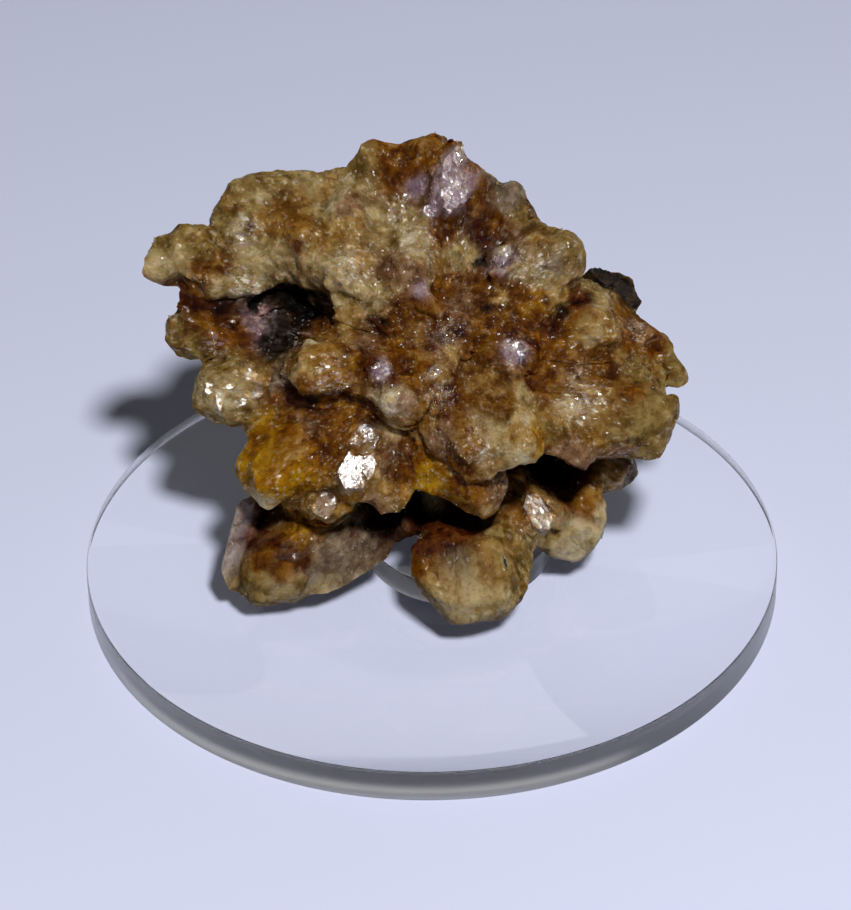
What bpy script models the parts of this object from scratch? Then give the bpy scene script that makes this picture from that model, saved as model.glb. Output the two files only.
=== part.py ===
"""A citrine cluster on a clear acrylic stand: a round base disc, a small round riser on it, and one
grown-together cluster of stubby quartz crystals resting on the riser.

Frame: metres, +Z up, origin at the centre of the base disc's underside. The side that is meant to be
seen faces -Y, and the widest spread of the crystals runs along X.
"""

import math
import random

import bmesh
import bpy
from mathutils import Matrix, Vector

MM = 0.001

# The stand.
BASE_RADIUS = 40 * MM
BASE_THICKNESS = 4 * MM
BASE_EDGE_BREAK = 0.25 * MM
RISER_RADIUS = 10.7 * MM
RISER_THICKNESS = 3 * MM
RISER_EDGE_BREAK = 0.2 * MM
RISER_CENTRE = Vector((3.1, -0.3, 0)) * MM
CONTACT_GAP = 0.3 * MM
DISC_STEPS = 72
ROUNDED_BELOW = math.radians(30)
RISER_BOTTOM = BASE_THICKNESS + CONTACT_GAP
RISER_TOP = RISER_BOTTOM + RISER_THICKNESS

# The massive quartz in the middle that every crystal grows out of.
CORE_CENTRE = Vector((1, 6, 25)) * MM
CORE_RADII = Vector((12, 10.5, 13)) * MM
CORE_SUBDIVISIONS = 2

# The habit of one crystal, in its own width: a six-sided prism that widens away from its root, closed
# by six shallow faces, with six steep faces that blunt the shoulders.
SIDES = 6
ROOT_RADIUS = 0.3
TIP_RADIUS = 0.54
FACE_DISTANCE = 0.45
SHOULDER_DISTANCE = 0.27
SHOULDER_DEPTH = 0.5
SHOULDER_SLOPE = 1.2
SLOPE_SPREAD = 0.3
FACE_SPREAD = 0.3
CUT_TOLERANCE = 1e-7

# Each crystal, in millimetres: its tip, its width and thickness, where it starts, and how long its
# point is beside its width. The groups go round the cluster as it stands on the riser.
DEFAULT_START = (1, 4, 27)
DEFAULT_POINT = 0.4
CROWN = {
    "peak": dict(tip=(3.5, 13.5, 53.3), size=(7.5, 7), start=(1.5, 5, 37), point=0.8),
    "peak_flank": dict(tip=(1.4, 13.5, 49.3), size=(8, 7), start=(0.5, 5, 36), point=0.3),
    "peak_foot": dict(tip=(2.2, 6, 44.5), size=(6, 5.5), start=(1.5, 5, 34), point=0.5),
    "brown_hump_left": dict(tip=(-6, 17, 49.6), size=(12, 9), start=(-1, 8, 34), point=0.2),
    "brown_hump_right": dict(tip=(0.3, 17, 51), size=(10, 9), start=(1, 8, 36), point=0.25),
    "yellow_hump": dict(tip=(8, 14, 48), size=(7, 7), start=(3, 7, 36), point=0.35),
    "grey_hump": dict(tip=(11.4, 11.5, 46.6), size=(7, 7.5), start=(4, 5, 36), point=0.25),
    "grey_hump_side": dict(tip=(12.9, 12, 43.2), size=(5, 5), start=(6, 7, 34)),
    "rim_hump_right": dict(tip=(-11.2, 16.5, 47.2), size=(10, 7), start=(-3, 8, 34), point=0.25),
    "rim_hump_middle": dict(tip=(-17.8, 15.5, 46.6), size=(12.5, 8), start=(-5, 8, 34), point=0.2),
    "rim_hump_left": dict(tip=(-24.2, 13.5, 45.7), size=(10, 9), start=(-8, 8, 34), point=0.3),
}
SHELF = {
    "shelf_top": dict(tip=(-10, 11, 47), size=(12, 10), start=(-1, 5, 33), point=0.15),
    "shelf_left": dict(tip=(-18.5, 9.5, 44), size=(12, 10), start=(-3, 6, 34), point=0.2),
    "shelf_middle": dict(tip=(-12.5, 3.5, 43), size=(13, 10), start=(-2, 7, 34), point=0.15),
    "shelf_right": dict(tip=(-4, 3, 44.5), size=(11, 10), start=(0, 7, 34), point=0.15),
    "shelf_lip": dict(tip=(-11, -0.5, 38.6), size=(11, 5.5), start=(-2, 7, 39), point=0.3),
    "shelf_lip_right": dict(tip=(-4.3, -2.5, 39), size=(9, 7), start=(0, 5, 37), point=0.3),
    "arm_root": dict(tip=(-29.4, 8.5, 37.7), size=(10, 8.5), start=(-10, 8, 39), point=0.25),
    "arm_top": dict(tip=(-30.6, 10, 40.1), size=(6.5, 6), start=(-15, 9, 38.5), point=0.35),
    "arm": dict(tip=(-32.7, 9, 38.2), size=(5, 4.6), start=(-18, 8.5, 38), point=0.3),
}
LEFT = {
    "left_lump": dict(tip=(-30.3, 5, 31), size=(6, 6.5), start=(-12, 7, 32.5), point=0.3),
    "left_block": dict(tip=(-25, 3, 30), size=(9, 8.5), start=(-9, 8, 31), point=0.25),
    "left_glassy": dict(tip=(-27.1, -2.2, 25), size=(9, 8), start=(-11, 5, 32), point=0.35),
    "left_glassy_inner": dict(tip=(-20.5, -3.6, 26.6), size=(6.5, 6), start=(-9, 4, 32), point=0.35),
    "left_inner": dict(tip=(-16.2, -6, 33), size=(9, 7.5), start=(-3, 2, 32), point=0.2),
    "left_wall": dict(tip=(-20, 4, 33.5), size=(6, 6), start=(-9, 9, 31), point=0.3),
}
FRONT = {
    "front_block": dict(tip=(6, -14.5, 25.6), size=(12.5, 9), start=(3.5, 1, 31), point=0.12),
    "front_block_side": dict(tip=(9.9, -13.8, 26), size=(7, 9), start=(7.5, 0, 32), point=0.12),
    "front_point": dict(tip=(5.9, -13.5, 17.7), size=(7.5, 7.5), start=(3, -1, 28), point=0.3),
    "front_amber": dict(tip=(-0.9, -12.5, 19.3), size=(6, 6), start=(1, -1, 29), point=0.35),
    "front_finger": dict(tip=(-5.4, -12.5, 18), size=(4.5, 4.5), start=(-1, -1, 29), point=0.35),
    "petal": dict(tip=(-20.7, -8.6, 18.4), size=(12.5, 9), start=(-5, 0, 30), point=0.15),
    "petal_mirror": dict(tip=(-9.6, -12.5, 19.8), size=(7.5, 7), start=(-3, -1, 30), point=0.3),
    "petal_glass": dict(tip=(-13.2, -11.5, 15.8), size=(6.5, 5.5), start=(-4, 0, 28), point=0.35),
    "petal_under": dict(tip=(-15, -8.5, 9.5), size=(6, 6), start=(-5, 1, 26), point=0.35),
    "nub": dict(tip=(-4.1, -11.8, 31.8), size=(4.8, 4.8), start=(-1, 0, 31), point=0.35),
}
RIGHT = {
    "right_oval": dict(tip=(17.8, 4.5, 43.2), size=(9.5, 8.5), start=(8, 5, 38.5), point=0.2),
    "right_oval_glint": dict(tip=(10, 1.5, 44), size=(5.5, 5.5), start=(8, 5, 37)),
    "right_dark": dict(tip=(25, 9.5, 31.9), size=(9, 4), start=(9, 8, 37), point=0.3),
    "right_step": dict(tip=(22, 5, 35), size=(7, 7), start=(8, 5, 34), point=0.3),
    "right_lump": dict(tip=(21.5, -0.5, 35), size=(8, 7.5), start=(8, 3, 33), point=0.2),
    "right_ridge": dict(tip=(26.2, 4.5, 31.5), size=(6, 6), start=(10, 4, 30), point=0.35),
    "right_ridge_low": dict(tip=(28.6, 4.8, 29.4), size=(4, 4), start=(14, 4, 28), point=0.35),
    "right_tip": dict(tip=(30.3, 3.6, 25), size=(7.5, 7), start=(11, 3, 28)),
    "right_lobe": dict(tip=(27.6, -5.5, 24.5), size=(12.5, 11.5), start=(6, 1, 30), point=0.12),
    "right_lobe_low": dict(tip=(20.3, -8.8, 23.3), size=(12, 9), start=(6, 0, 31), point=0.15),
}
CENTRE = {
    "centre_heart": dict(tip=(0.4, -7.5, 34.5), size=(5, 5), start=(0, 0, 31)),
    "centre_glitter": dict(tip=(-6, -8, 35.2), size=(4, 4), start=(-2, 0, 32), point=0.3),
    "centre_facet": dict(tip=(11.2, -6, 35.8), size=(4.5, 4.5), start=(5, 0, 32), point=0.3),
    "centre_upper": dict(tip=(8, -1, 39), size=(4, 4), start=(4, 3, 33)),
    "centre_right": dict(tip=(13, 0, 39), size=(6, 5), start=(6, 4, 34), point=0.3),
    "centre_top": dict(tip=(-0.5, -2, 40), size=(4, 4), start=(1, 3, 34), point=0.5),
    "centre_left": dict(tip=(-9.5, -7, 32.5), size=(5, 4), start=(-2, 0, 31), point=0.3),
    "centre_brown": dict(tip=(5, -3, 37.5), size=(4, 4), start=(3, 2, 33), point=0.5),
}
SKIRT = {
    "foot_left": dict(tip=(-23.2, -10.6, 7.4), size=(13, 10), start=(0, -1, 12.5), point=0.2),
    "foot_left_side": dict(tip=(-22.5, -5.5, 10), size=(8, 8), start=(0, 2, 16), point=0.3),
    "foot_front": dict(tip=(5.4, -19.2, 8.4), size=(15.5, 9), start=(4, 1, 13.5), point=0.15),
    "foot_right": dict(tip=(19.7, -5.8, 8.9), size=(11.5, 9), start=(5, 2, 15), point=0.15),
    "foot_far_right": dict(tip=(24.3, 1, 13.4), size=(6.5, 6), start=(8, 3, 18), point=0.3),
    "foot_glitter": dict(tip=(14.5, -9.3, 13), size=(5, 5.5), start=(6, 0, 19), point=0.35),
    "foot_middle": dict(tip=(3, 1, 5), size=(15, 14), start=(2, 3, 18), point=0.1),
}
BACK = {
    "back_right_high": dict(tip=(17, 18.5, 31), size=(11, 9), point=0.25),
    "back_top_right": dict(tip=(9, 23, 38), size=(11, 10), point=0.3),
    "back_top_left": dict(tip=(-6, 24.5, 38), size=(12, 10), point=0.2),
    "back_left_high": dict(tip=(-19, 21, 36.5), size=(12, 10), point=0.25),
    "back_left_end": dict(tip=(-27.5, 13.5, 29), size=(9, 10), point=0.3),
    "back_left_small": dict(tip=(-25.5, 18, 32), size=(6, 6)),
    "back_right_end": dict(tip=(26.5, 13, 21), size=(10, 10), point=0.3),
    "back_right_small": dict(tip=(21, 18, 25.5), size=(6, 6), point=0.5),
    "back_right": dict(tip=(13.5, 24, 25), size=(12, 11), point=0.2),
    "back_middle": dict(tip=(-2, 26.5, 27), size=(13, 11), point=0.25),
    "back_middle_small": dict(tip=(5.5, 26.5, 31), size=(6, 6), point=0.5),
    "back_left": dict(tip=(-16.5, 23, 25), size=(12, 11), point=0.2),
    "back_left_glassy": dict(tip=(-9.5, 25.5, 31.5), size=(6, 6)),
    "back_low_right": dict(tip=(18, 17, 11), size=(10, 9), point=0.25),
    "back_low_middle": dict(tip=(4, 22, 11.5), size=(13, 9), point=0.2),
    "back_low_small": dict(tip=(12, 22, 16), size=(6, 6)),
    "back_low_left": dict(tip=(-12.5, 18.5, 11), size=(12, 9), point=0.25),
    "back_low_end": dict(tip=(-21.5, 6.5, 15.5), size=(10, 9), point=0.3),
}
CRYSTALS = {**CROWN, **SHELF, **LEFT, **FRONT, **RIGHT, **CENTRE, **SKIRT, **BACK}

# Base colour, roughness and how much light goes through, of each material.
CITRINE = ((0.42, 0.25, 0.07, 1), 0.35, 0.4)
ACRYLIC = ((0.93, 0.95, 0.96, 1), 0.03, 1)


def clear_scene():
    for old in list(bpy.data.objects):
        bpy.data.objects.remove(old, do_unlink=True)


def make_collection(name):
    collection = bpy.data.collections.new(name)
    bpy.context.scene.collection.children.link(collection)
    return collection


def make_material(name, colour, roughness, transmission):
    material = bpy.data.materials.new(name)
    material.use_nodes = True
    shader = material.node_tree.nodes["Principled BSDF"]
    shader.inputs["Base Color"].default_value = colour
    shader.inputs["Roughness"].default_value = roughness
    shader.inputs["Metallic"].default_value = 0
    shader.inputs["Transmission Weight"].default_value = transmission
    return material


def mesh_object(name, bm, collection):
    mesh = bpy.data.meshes.new(name)
    bm.to_mesh(mesh)
    bm.free()
    made = bpy.data.objects.new(name, mesh)
    collection.objects.link(made)
    return made


def disc(name, radius, bottom, top, centre, collection):
    bm = bmesh.new()
    bmesh.ops.create_cone(
        bm,
        cap_ends=True,
        segments=DISC_STEPS,
        radius1=radius,
        radius2=radius,
        depth=top - bottom,
        matrix=Matrix.Translation(centre + Vector((0, 0, (bottom + top) / 2))),
    )
    return mesh_object(name, bm, collection)


def stand_disc(name, radius, bottom, top, centre, edge_break, material, collection):
    """A polished acrylic disc with its two rims just broken."""
    plate = disc(name, radius, bottom, top, centre, collection)
    plate.data.materials.append(material)
    plate.data.shade_smooth()
    plate.data.set_sharp_from_angle(angle=ROUNDED_BELOW)
    bevel = plate.modifiers.new("broken edge", "BEVEL")
    bevel.width = edge_break
    bevel.segments = 1
    bevel.limit_method = "ANGLE"


def keep_inner_side(bm, point, normal):
    """Cuts a convex body by a plane and closes the cut with one flat face."""
    cut = bmesh.ops.bisect_plane(
        bm,
        geom=bm.verts[:] + bm.edges[:] + bm.faces[:],
        dist=CUT_TOLERANCE,
        plane_co=point,
        plane_no=normal,
        clear_outer=True,
    )
    rim = [piece for piece in cut["geom_cut"] if isinstance(piece, bmesh.types.BMEdge)]
    if rim:
        bmesh.ops.contextual_create(bm, geom=rim)


def crystal(name, collection, tip, size, start=DEFAULT_START, point=DEFAULT_POINT):
    """One crystal from its start to its tip. Its name seeds the small differences between its faces."""
    width, thickness = size
    axis = Vector(tip) - Vector(start)
    length = axis.length
    rise = point * width
    chance = random.Random(name)
    bm = bmesh.new()
    half_step = math.pi / SIDES
    bmesh.ops.create_cone(
        bm,
        cap_ends=True,
        segments=SIDES,
        radius1=ROOT_RADIUS,
        radius2=TIP_RADIUS,
        depth=length,
        matrix=Matrix.Translation((0, 0, length / 2)) @ Matrix.Rotation(half_step, 4, "Z"),
    )
    for side in range(SIDES):
        angle = (2 * side + 1) * half_step
        outward = Vector((math.cos(angle), math.sin(angle), 0))
        top = Vector((0, 0, length - chance.uniform(0, FACE_SPREAD) * rise))
        keep_inner_side(bm, top, (outward * rise + Vector((0, 0, FACE_DISTANCE))).normalized())
        slope = (SHOULDER_SLOPE + chance.uniform(-SLOPE_SPREAD, SLOPE_SPREAD)) * width
        shoulder = outward * SHOULDER_DISTANCE + Vector((0, 0, length - SHOULDER_DEPTH * rise))
        keep_inner_side(bm, shoulder, (outward * slope + Vector((0, 0, FACE_DISTANCE))).normalized())
    bmesh.ops.scale(bm, vec=(width, thickness, 1), verts=bm.verts[:])
    turn = axis.to_track_quat("Z", "Y").to_matrix().to_4x4()
    bm.transform(Matrix.Scale(MM, 4) @ Matrix.Translation(start) @ turn)
    return mesh_object(name, bm, collection)


def combine(target, tools, operation, name):
    """Joins the target with, or cuts it by, everything in the tools' collection."""
    for tool in tools.objects:
        tool.hide_render = True
        tool.display_type = "WIRE"
    step = target.modifiers.new(name, "BOOLEAN")
    step.operation = operation
    step.operand_type = "COLLECTION"
    step.collection = tools
    step.solver = "EXACT"


def make_cluster(collection, material):
    """The core with all its crystals grown into it, seated on the riser and clear of the base disc."""
    bm = bmesh.new()
    bmesh.ops.create_icosphere(bm, subdivisions=CORE_SUBDIVISIONS, radius=1)
    bmesh.ops.scale(bm, vec=CORE_RADII, verts=bm.verts[:])
    bmesh.ops.translate(bm, vec=CORE_CENTRE, verts=bm.verts[:])
    cluster = mesh_object("citrine_cluster", bm, collection)
    cluster.data.materials.append(material)

    crystals = make_collection("crystals")
    for name, habit in CRYSTALS.items():
        crystal(name, crystals, **habit)
    combine(cluster, crystals, "UNION", "grown together")

    seats = make_collection("seats")
    below = -BASE_THICKNESS
    seat_radius = RISER_RADIUS + CONTACT_GAP
    disc("riser_seat", seat_radius, below, RISER_TOP + CONTACT_GAP, RISER_CENTRE, seats)
    disc("base_clearance", BASE_RADIUS, below, BASE_THICKNESS + CONTACT_GAP, Vector(), seats)
    combine(cluster, seats, "DIFFERENCE", "seat")


def main():
    clear_scene()
    parts = make_collection("citrine cluster")
    citrine = make_material("citrine", *CITRINE)
    acrylic = make_material("acrylic", *ACRYLIC)
    stand_disc(
        "base_disc", BASE_RADIUS, 0, BASE_THICKNESS, Vector(), BASE_EDGE_BREAK, acrylic, parts
    )
    stand_disc(
        "riser_disc", RISER_RADIUS, RISER_BOTTOM, RISER_TOP, RISER_CENTRE, RISER_EDGE_BREAK, acrylic, parts
    )
    make_cluster(parts, citrine)


main()
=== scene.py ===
# %% [markdown]
# Citrine cluster on a clear stand.
# This notebook dresses a small mineral specimen: a spray of frosted, honey-brown quartz crystals that
# rests on a clear acrylic riser and a round base disc. The solids arrive as a fixed frame, in metres
# and with Z up, so every piece made here goes straight to where the frame says.

# %% Load the frame
import math

import bmesh
import bpy
import numpy as np
from mathutils import Matrix, Vector, noise
from mathutils.bvhtree import BVHTree
from mathutils.kdtree import KDTree


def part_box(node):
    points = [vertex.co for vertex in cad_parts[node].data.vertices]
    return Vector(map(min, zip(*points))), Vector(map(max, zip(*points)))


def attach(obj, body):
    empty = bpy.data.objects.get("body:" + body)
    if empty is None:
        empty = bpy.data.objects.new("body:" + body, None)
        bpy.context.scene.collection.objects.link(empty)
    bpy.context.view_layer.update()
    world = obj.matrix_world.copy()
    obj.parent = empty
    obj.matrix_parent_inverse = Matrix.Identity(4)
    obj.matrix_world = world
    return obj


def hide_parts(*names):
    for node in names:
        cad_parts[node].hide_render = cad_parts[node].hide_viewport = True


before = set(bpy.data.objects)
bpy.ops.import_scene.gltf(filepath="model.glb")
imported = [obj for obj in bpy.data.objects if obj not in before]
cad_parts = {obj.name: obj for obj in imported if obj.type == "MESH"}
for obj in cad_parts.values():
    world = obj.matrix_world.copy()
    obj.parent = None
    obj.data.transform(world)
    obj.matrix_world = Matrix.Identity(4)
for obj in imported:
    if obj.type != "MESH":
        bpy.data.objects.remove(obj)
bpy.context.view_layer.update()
scene = bpy.context.scene
MM = 0.001
print("frame nodes:", ", ".join(sorted(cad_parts)))

# %% [markdown]
# The camera first. The base disc's two rim ellipses in the photograph give the viewing angle: the
# camera looks down by about 36 degrees from half a metre away, through a long lens. A camera's matrix
# holds its right, up and backward directions as columns, so those three are written out as they are.

# %% Camera
CAMERA_PLACE = Vector((0, -395.808, 305.509)) * MM
CAMERA_RIGHT = (0.99987983, -0.00820013, -0.01315584)
CAMERA_UP = (0.0154626, 0.58817028, 0.80858928)
CAMERA_BACK = (0.00110734, -0.80869554, 0.5882264)
CAMERA_LENS = 169.6
SENSOR_WIDTH = 36
CLIP_START = 0.01


def placed(name, data):
    """A new object at the origin that shows the data."""
    made = bpy.data.objects.new(name, data)
    scene.collection.objects.link(made)
    return made


camera_data = bpy.data.cameras.new("camera")
camera_data.lens = CAMERA_LENS
camera_data.sensor_width = SENSOR_WIDTH
camera_data.clip_start = CLIP_START
camera = placed("camera", camera_data)
turn = Matrix((CAMERA_RIGHT, CAMERA_UP, CAMERA_BACK)).transposed()
camera.matrix_world = Matrix.Translation(CAMERA_PLACE) @ turn.to_4x4()
scene.camera = camera
print("camera looks down by", round(math.degrees(math.asin(CAMERA_BACK[2])), 1), "degrees")

# %% [markdown]
# A material is a tree of nodes, and a few helpers keep such a tree short. One feeds a node's inputs: it makes
# a link where it is given another node's socket and sets a plain value where it isn't. One adds a node, one
# starts a material, and three write out the steps that come again and again.

# %% Helpers for node trees
def feed(tree, node, values):
    """Sets a node's inputs, by name or number, from other nodes' sockets or from plain values."""
    for key, value in values.items():
        if isinstance(value, bpy.types.NodeSocket):
            tree.links.new(value, node.inputs[key])
        else:
            node.inputs[key].default_value = value


def add_node(tree, kind, values=None, **settings):
    """A new node with its settings made and its inputs fed."""
    node = tree.nodes.new(kind)
    for name, value in settings.items():
        setattr(node, name, value)
    feed(tree, node, values or {})
    return node


def new_material(name, values):
    """A material, its tree and its shader, with some of the shader's inputs given by name."""
    material = bpy.data.materials.new(name)
    material.use_nodes = True
    shader = material.node_tree.nodes["Principled BSDF"]
    feed(material.node_tree, shader, values)
    return material, material.node_tree, shader


def maths(tree, operation, first, *others):
    """One step of arithmetic. Further values are taken in one after another."""
    if not others:
        return add_node(tree, "ShaderNodeMath", {0: first}, operation=operation).outputs[0]
    for other in others:
        first = add_node(tree, "ShaderNodeMath", {0: first, 1: other}, operation=operation).outputs[0]
    return first


def vector_maths(tree, operation, first, second=None):
    """One step of arithmetic on vectors. The second value of a SCALE is a plain number."""
    values = {0: first}
    if second is not None:
        values["Scale" if operation == "SCALE" else 1] = second
    node = add_node(tree, "ShaderNodeVectorMath", values, operation=operation)
    return node.outputs["Value" if operation == "LENGTH" else "Vector"]


def ranged(tree, source, low, high, to_low, to_high):
    """A value moved from one range to another, and held inside it."""
    values = {"Value": source, "From Min": low, "From Max": high, "To Min": to_low, "To Max": to_high}
    return add_node(tree, "ShaderNodeMapRange", values).outputs["Result"]


# %% [markdown]
# One soft lamp stands in front, a little to the right and high up, so the shadows fall behind the crystals
# and to the left. A faint pale sky fills them, and a dim card at the back gives the polished faces something
# pale to mirror. The floor is one plain pale sheet. The Standard view keeps the amber as strong as the light
# makes it, where AgX would grey it.

# %% Floor, lamp and sky
LAMP_DIRECTION = Vector((0.142, -0.525, 0.839)).normalized()
LAMP_DISTANCE = 0.7
LAMP_SIZE = 0.07
LAMP_POWER = 5.0
SKY_COLOUR = (0.93, 0.94, 1.0, 1)
SKY_STRENGTH = 0.025
CARD_DIRECTION = Vector((0.25, 0.9, 0.38)).normalized()
CARD_DISTANCE = 0.9
CARD_SIZE = (1.4, 0.5)
CARD_POWER = 0.8
FLOOR_COLOUR = (0.70, 0.735, 0.93, 1)
FLOOR_ROUGHNESS = 0.6
FLOOR_HALF_WIDTH = 1.5
FLOOR_GAP = 0.05 * MM
AIM = Vector((0, 3, 20)) * MM


def area_light(name, shape, size, power, direction, distance):
    """A flat light of a given width and height that faces the aim from a direction."""
    data = bpy.data.lights.new(name, "AREA")
    data.shape = shape
    data.size, data.size_y = size
    data.energy = power
    light = placed(name, data)
    light.location = AIM + direction * distance
    light.rotation_euler = direction.to_track_quat("Z", "Y").to_euler()
    return light


def shaped(name, bm):
    """A new object from a shape that was built with bmesh."""
    mesh = bpy.data.meshes.new(name)
    bm.to_mesh(mesh)
    bm.free()
    return placed(name, mesh)


scene.view_settings.view_transform = "Standard"
scene.world = bpy.data.worlds.new("pale sky")
scene.world.use_nodes = True
sky = scene.world.node_tree
feed(sky, sky.nodes["Background"], {"Color": SKY_COLOUR, "Strength": SKY_STRENGTH})
lamp = area_light("key lamp", "DISK", (LAMP_SIZE, LAMP_SIZE), LAMP_POWER, LAMP_DIRECTION, LAMP_DISTANCE)
area_light("back card", "RECTANGLE", CARD_SIZE, CARD_POWER, CARD_DIRECTION, CARD_DISTANCE)

bm = bmesh.new()
bmesh.ops.create_grid(bm, x_segments=1, y_segments=1, size=FLOOR_HALF_WIDTH)
floor = shaped("floor", bm)
floor.location.z = -FLOOR_GAP
paint, _, _ = new_material("floor paint", {"Base Color": FLOOR_COLOUR, "Roughness": FLOOR_ROUGHNESS})
floor.data.materials.append(paint)
print("lamp of", LAMP_POWER, "W, card of", CARD_POWER, "W")

# %% [markdown]
# The stand is two polished rounds of clear acrylic. Each is a turned profile: a short list of radius and
# height pairs, with the rims just broken, spun once round. Fine steps keep the clear rim free of facets.

# %% Acrylic rounds
TURN_STEPS = 240
RIM_BREAK = 0.25 * MM
RIM_STEPS = 3
SAME_POINT = 1e-6
RIM_CORNER = math.radians(40)


def turned_plate(name, node):
    """A round plate that fills its solid's box, with small rounded rims."""
    low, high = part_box(node)
    centre = (low + high) / 2
    radius = (high.x - low.x) / 2
    rim = RIM_BREAK
    profile = [(0, low.z)]
    for top in (False, True):
        for step in range(RIM_STEPS + 1):
            turn = math.pi / 2 * step / RIM_STEPS
            across = radius - rim + rim * (math.cos(turn) if top else math.sin(turn))
            up = high.z - rim + rim * math.sin(turn) if top else low.z + rim - rim * math.cos(turn)
            profile.append((across, up))
    profile.append((0, high.z))
    bm = bmesh.new()
    points = [bm.verts.new((centre.x + across, centre.y, up)) for across, up in profile]
    edges = [bm.edges.new(pair) for pair in zip(points, points[1:])]
    bmesh.ops.spin(
        bm, geom=points + edges, cent=centre, axis=(0, 0, 1), angle=math.tau, steps=TURN_STEPS, use_merge=True
    )
    bmesh.ops.remove_doubles(bm, verts=bm.verts, dist=SAME_POINT)
    bmesh.ops.recalc_face_normals(bm, faces=bm.faces)
    plate = shaped(name, bm)
    plate.data.shade_smooth()
    plate.data.set_sharp_from_angle(angle=RIM_CORNER)
    return plate


base_plate = turned_plate("base_plate", "base_disc")
riser_plate = turned_plate("riser_plate", "riser_disc")
print("plates:", len(base_plate.data.polygons), "and", len(riser_plate.data.polygons), "faces")

# %% [markdown]
# The rounds are polished on their faces, and a little satin on their sawn walls, with faint upright marks.
# Real acrylic lets the lamp through, but a path tracer finds that light only by luck, so the shader shows
# lamp rays a Transparent surface instead of the glass. The lamp is then kept off the plates by light
# linking, or the floor under them would be lit twice, through the shader and through the glass. A path that
# runs along inside the plate turns back many times, so the scene allows more bounces than usual.

# %% Clear acrylic
ACRYLIC_IOR = 1.49
BOUNCES = 28
FACE_ROUGHNESS = 0.01
WALL_ROUGHNESS = 0.3
FACE_LEVEL = 0.98
RIM_LEVEL = 0.6
WALL_LEVEL = 0.3
CUT_MARK_SCALE = 700
CUT_MARK_STRETCH = 0.02
CUT_MARK_DEPTH = 0.08 * MM
CUT_MARK_STRENGTH = 0.35


def let_lamp_through(tree, shader):
    """Shows lamp rays a transparent surface in place of the glass."""
    ray = add_node(tree, "ShaderNodeLightPath")
    through = add_node(tree, "ShaderNodeBsdfTransparent")
    choice = {0: ray.outputs["Is Shadow Ray"], 1: shader.outputs["BSDF"], 2: through.outputs["BSDF"]}
    mix = add_node(tree, "ShaderNodeMixShader", choice)
    feed(tree, tree.nodes["Material Output"], {"Surface": mix.outputs["Shader"]})


def clear_acrylic(name):
    """Clear acrylic. How level the surface lies, up to one, tells its faces from its walls."""
    values = {"Base Color": (1, 1, 1, 1), "IOR": ACRYLIC_IOR, "Transmission Weight": 1}
    material, tree, shader = new_material(name, values)
    normal = add_node(tree, "ShaderNodeNewGeometry").outputs["Normal"]
    split = add_node(tree, "ShaderNodeSeparateXYZ", {"Vector": normal})
    level = maths(tree, "ABSOLUTE", split.outputs["Z"])
    place = add_node(tree, "ShaderNodeTexCoord").outputs["Object"]
    upright = add_node(tree, "ShaderNodeMapping", {"Vector": place, "Scale": (1, 1, CUT_MARK_STRETCH)})
    pattern = {"Vector": upright.outputs["Vector"], "Scale": CUT_MARK_SCALE, "Detail": 2}
    marks = add_node(tree, "ShaderNodeTexNoise", pattern)
    strength = ranged(tree, level, RIM_LEVEL, WALL_LEVEL, 0, CUT_MARK_STRENGTH)
    raised = {"Strength": strength, "Distance": CUT_MARK_DEPTH, "Height": marks.outputs["Fac"]}
    relief = add_node(tree, "ShaderNodeBump", raised)
    satin = ranged(tree, level, RIM_LEVEL, FACE_LEVEL, WALL_ROUGHNESS, FACE_ROUGHNESS)
    feed(tree, shader, {"Roughness": satin, "Normal": relief.outputs["Normal"]})
    let_lamp_through(tree, shader)
    return material


acrylic = clear_acrylic("clear acrylic")
clear_pieces = bpy.data.collections.new("clear pieces")
for plate, node in ((base_plate, "base_disc"), (riser_plate, "riser_disc")):
    plate.data.materials.append(acrylic)
    clear_pieces.objects.link(plate)
    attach(plate, "root")
    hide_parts(node)
lamp.light_linking.receiver_collection = clear_pieces
for held in clear_pieces.collection_objects:
    held.light_linking.link_state = "EXCLUDE"
scene.cycles.max_bounces = BOUNCES
scene.cycles.transmission_bounces = BOUNCES
scene.cycles.glossy_bounces = BOUNCES

# %% [markdown]
# The cluster's big crystals are in the solid. A merged copy of it goes through a voxel remesh, which turns
# it into one even, closed skin of small squares. That rounds the worn edges a little and can carry relief.
# The skin is worked on as arrays of points, so a few helpers read them from a mesh and write them back.

# %% Cluster body
ROUGH_VOXEL = 0.45 * MM
SKIN_VOXEL = 0.22 * MM
HEART = Vector((1, 4, 27)) * MM


def read_values(items, name, width=1, kind=np.float32):
    """One value, or one row of them, from each of a mesh's items."""
    flat = np.empty(len(items) * width, kind)
    items.foreach_get(name, flat)
    return flat if width == 1 else flat.reshape(-1, width)


def coordinates(mesh):
    return read_values(mesh.vertices, "co", 3).astype(float)


def vertex_normals(mesh):
    return read_values(mesh.vertex_normals, "vector", 3).astype(float)


def move_points(mesh, points):
    mesh.vertices.foreach_set("co", points.astype(np.float32).ravel())
    mesh.update()


def surface_tree(mesh):
    """The mesh's faces, ready for rays."""
    faces = [tuple(face.vertices) for face in mesh.polygons]
    return BVHTree.FromPolygons([tuple(p) for p in coordinates(mesh)], faces)


def unit(vectors):
    return vectors / np.maximum(np.linalg.norm(vectors, axis=-1, keepdims=True), 1e-12)


def dot(a, b):
    return np.einsum("ij,ij->i", a, b)


def smoothed(mesh, values, rounds):
    """The mean over neighbouring points, taken a few times."""
    a, b = read_values(mesh.edges, "vertices", 2, np.int32).T
    count = np.bincount(a, minlength=len(values)) + np.bincount(b, minlength=len(values)) + 1.0
    if values.ndim == 2:
        count = count[:, None]
    for _ in range(rounds):
        total = values.copy()
        np.add.at(total, a, values[b])
        np.add.at(total, b, values[a])
        values = total / count
    return values


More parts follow.
